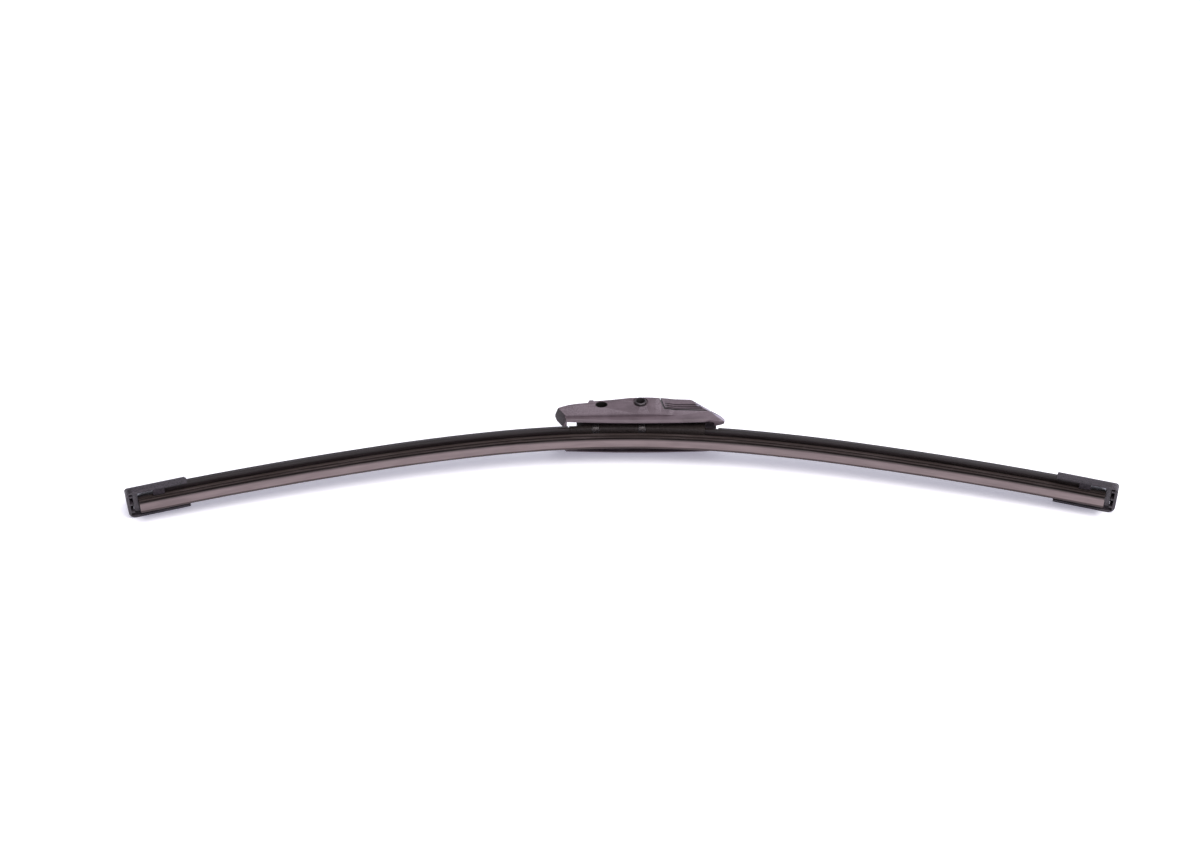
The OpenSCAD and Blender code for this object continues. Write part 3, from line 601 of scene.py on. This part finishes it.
pivotRivet = {
    "node": "pivot_tube", "name": "pivotRivet", "body": "blade", "slot": "pivot_tube",
    "edgeWidth": 0.00012, "edgeSteps": 2,
}
dress(pivotRivet, tubeCoat)

# both ends and both lengths of spoiler

endCap = {
    "node": "end_cap_{}", "name": "{}EndCap", "body": "blade", "slot": "end_cap",
    "edgeWidth": 0.00035, "edgeSteps": 3,
}
railClip = {
    "node": "rail_clip_{}", "name": "{}RailClip", "body": "blade", "slot": "rail_clip",
    "edgeWidth": 0.00015, "edgeSteps": 2,
}
spoilerLength = {
    "node": "spoiler_{}", "name": "{}SpoilerLength", "body": "blade", "slot": "spoiler",
    "edgeWidth": 0.0002, "edgeSteps": 2,
}
for side in ("left", "right"):
    dress(endCap, capCoat, side)
    dress(railClip, clipCoat, side)
    markAlongBlade(dress(spoilerLength, spoilerCoat, side))

# rails and rubber

springRail = {
    "node": "rail_{}", "name": "{}SpringRail", "body": "blade", "slot": "rail",
    "edgeWidth": 0.00012, "edgeSteps": 2,
}
for side in ("upper", "lower"):
    markAlongBlade(dress(springRail, railCoat, side))

rubberStrip = {
    "node": "wiper_rubber", "name": "wipingRubberStrip", "body": "blade", "slot": "wiper_rubber",
    "edgeWidth": 0.00018, "edgeSteps": 2,
}
markAlongBlade(dress(rubberStrip, rubberCoat))
print("pieces dressed")


# floor

table = {
    "restTurn": math.radians(4.53),             # the blade lies on the tube's end and on both caps
    "touchPoint": (0.0, -0.00325, -0.0138),
    "size": 9.0,
    "dark": (0.90, 0.90, 0.915, 1), "light": (0.93, 0.93, 0.94, 1),
    "glow": 0.28, "glowColour": (0.84, 0.82, 1.0, 1),
}
upwards = Vector((0, math.sin(table["restTurn"]), math.cos(table["restTurn"])))
away = Vector((0, upwards.z, -upwards.y))
toTheRight = Vector((1, 0, 0))
floorPoint = upwards * upwards.dot(Vector(table["touchPoint"]))

bpy.ops.object.select_all(action="DESELECT")
bpy.ops.mesh.primitive_plane_add(size=table["size"], location=floorPoint, rotation=(-table["restTurn"], 0, 0))
floor = bpy.context.object
floor.name = "paleFloor"
bpy.ops.object.transform_apply(location=True, rotation=True, scale=True)
floorCoat = Coat("paleFloorSheet", Roughness=0.5, Specular_IOR_Level=0.2,
                 Emission_Color=table["glowColour"], Emission_Strength=table["glow"])
floorTone = floorCoat.noise(floorCoat.place(), 3.0, 2.0, 0.5)
floorCoat.feed("Base Color", floorCoat.mixed(floorTone, table["dark"], table["light"]))
floor.data.materials.append(floorCoat.material)


# light: a pale room, brighter on the right, and one large softbox above

room = {"colour": (0.92, 0.91, 1.0, 1), "leftStrength": 0.3, "rightStrength": 1.3, "reach": 0.9}
softbox = {
    "up": 1.6, "away": -0.75, "right": 0.35,
    "width": 1.5, "depth": 1.1,
    "power": 27.0, "colour": (1.0, 0.98, 0.955),
}


def paleRoom():
    world = bpy.data.worlds.new("studioWorld")
    bpy.context.scene.world = world
    world.use_nodes = True
    tree = world.node_tree
    background = tree.nodes["Background"]
    background.inputs["Color"].default_value = room["colour"]
    direction = tree.nodes.new("ShaderNodeTexCoord")
    sideways = tree.nodes.new("ShaderNodeSeparateXYZ")
    strength = tree.nodes.new("ShaderNodeMapRange")
    strength.inputs["From Min"].default_value = -room["reach"]
    strength.inputs["From Max"].default_value = room["reach"]
    strength.inputs["To Min"].default_value = room["leftStrength"]
    strength.inputs["To Max"].default_value = room["rightStrength"]
    tree.links.new(direction.outputs["Generated"], sideways.inputs[0])
    tree.links.new(sideways.outputs["X"], strength.inputs["Value"])
    tree.links.new(strength.outputs["Result"], background.inputs["Strength"])


def overheadSoftbox():
    light = bpy.data.lights.new("overheadSoftbox", "AREA")
    light.shape = "RECTANGLE"
    light.size = softbox["width"]
    light.size_y = softbox["depth"]
    light.energy = softbox["power"]
    light.color = softbox["colour"]
    lamp = bpy.data.objects.new("overheadSoftbox", light)
    bpy.context.scene.collection.objects.link(lamp)
    place = upwards * softbox["up"] + away * softbox["away"] + toTheRight * softbox["right"]
    lamp.location = place
    lamp.rotation_euler = (-place).to_track_quat("-Z", "Y").to_euler()


paleRoom()
overheadSoftbox()


# the photograph's camera, as solved from the outline

cameraFit = {
    "place": Vector((-0.03036, -0.86199, 0.67639)),
    "look": Vector((0.00763, 0.784289, -0.620349)),
    "up": Vector((0.005058, 0.620329, 0.784326)),
    "lens": 60.0, "sensor": 36.0,
    "near": 0.01, "far": 30.0,
}
camera = bpy.data.objects.new("photoCamera", bpy.data.cameras.new("photoCamera"))
bpy.context.scene.collection.objects.link(camera)
right = cameraFit["look"].cross(cameraFit["up"]).normalized()
up = right.cross(cameraFit["look"]).normalized()
camera.matrix_world = Matrix((right, up, -cameraFit["look"].normalized())).transposed().to_4x4()
camera.location = cameraFit["place"]
camera.data.lens = cameraFit["lens"]
camera.data.sensor_width = cameraFit["sensor"]
camera.data.clip_start = cameraFit["near"]
camera.data.clip_end = cameraFit["far"]
bpy.context.scene.camera = camera
bpy.context.scene.view_settings.view_transform = "Standard"
print("stage, light and camera set")
